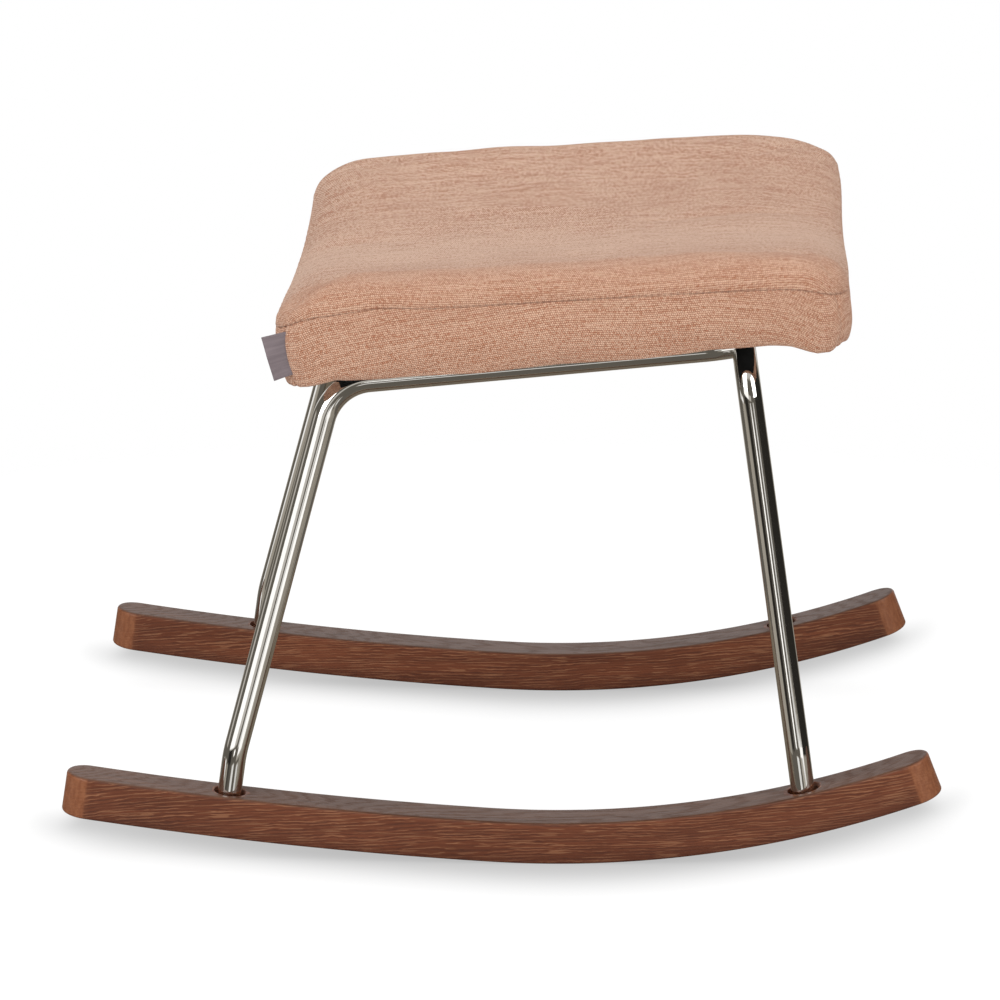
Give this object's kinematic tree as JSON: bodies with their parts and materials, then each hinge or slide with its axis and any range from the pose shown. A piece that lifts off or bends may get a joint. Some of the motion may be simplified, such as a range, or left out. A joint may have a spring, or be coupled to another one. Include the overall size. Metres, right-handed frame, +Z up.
{
  "type": "rocking footstool",
  "caption": "Rocking footstool: upholstered saddle seat on a frame of bent polished tube, standing on curved wooden rockers.",
  "frame": {"origin": "on the floor, in the middle of the rockers' length and midway between the two rockers", "axes": "+X along the rockers towards the higher side of the seat, +Y away from the viewer to the far rocker, +Z up"},
  "size_m": [0.5899, 0.424, 0.4247],
  "materials": {
    "rocker_wood": "stained and lacquered",
    "frame_chrome": "polished",
    "hardware_steel": "zinc plated",
    "bolt_steel": "dark plated",
    "black_panel": "black painted board",
    "plywood": "raw plywood",
    "foam": "open-cell foam",
    "seat_fabric": "woven chenille",
    "label_ribbon": "woven ribbon, blank"
  },
  "bodies": {
    "root": {"near_rocker": "rocker_wood", "far_rocker": "rocker_wood", "near_side_tube": "frame_chrome", "far_side_tube": "frame_chrome", "right_leg_hoop": "frame_chrome", "left_cross_tube": "frame_chrome", "seat_tabs": "frame_chrome", "foot_plugs": "hardware_steel", "rocker_washers": "hardware_steel", "rocker_bolts": "bolt_steel", "base_panel": "black_panel", "seat_screws": "bolt_steel", "seat_washers": "hardware_steel", "seat_board": "plywood", "t_nuts": "hardware_steel", "foam_core": "foam", "cover_top": "seat_fabric", "near_border": "seat_fabric", "right_border": "seat_fabric", "far_border": "seat_fabric", "left_border": "seat_fabric", "corner_label": "label_ribbon"}
  },
  "joints": []
}
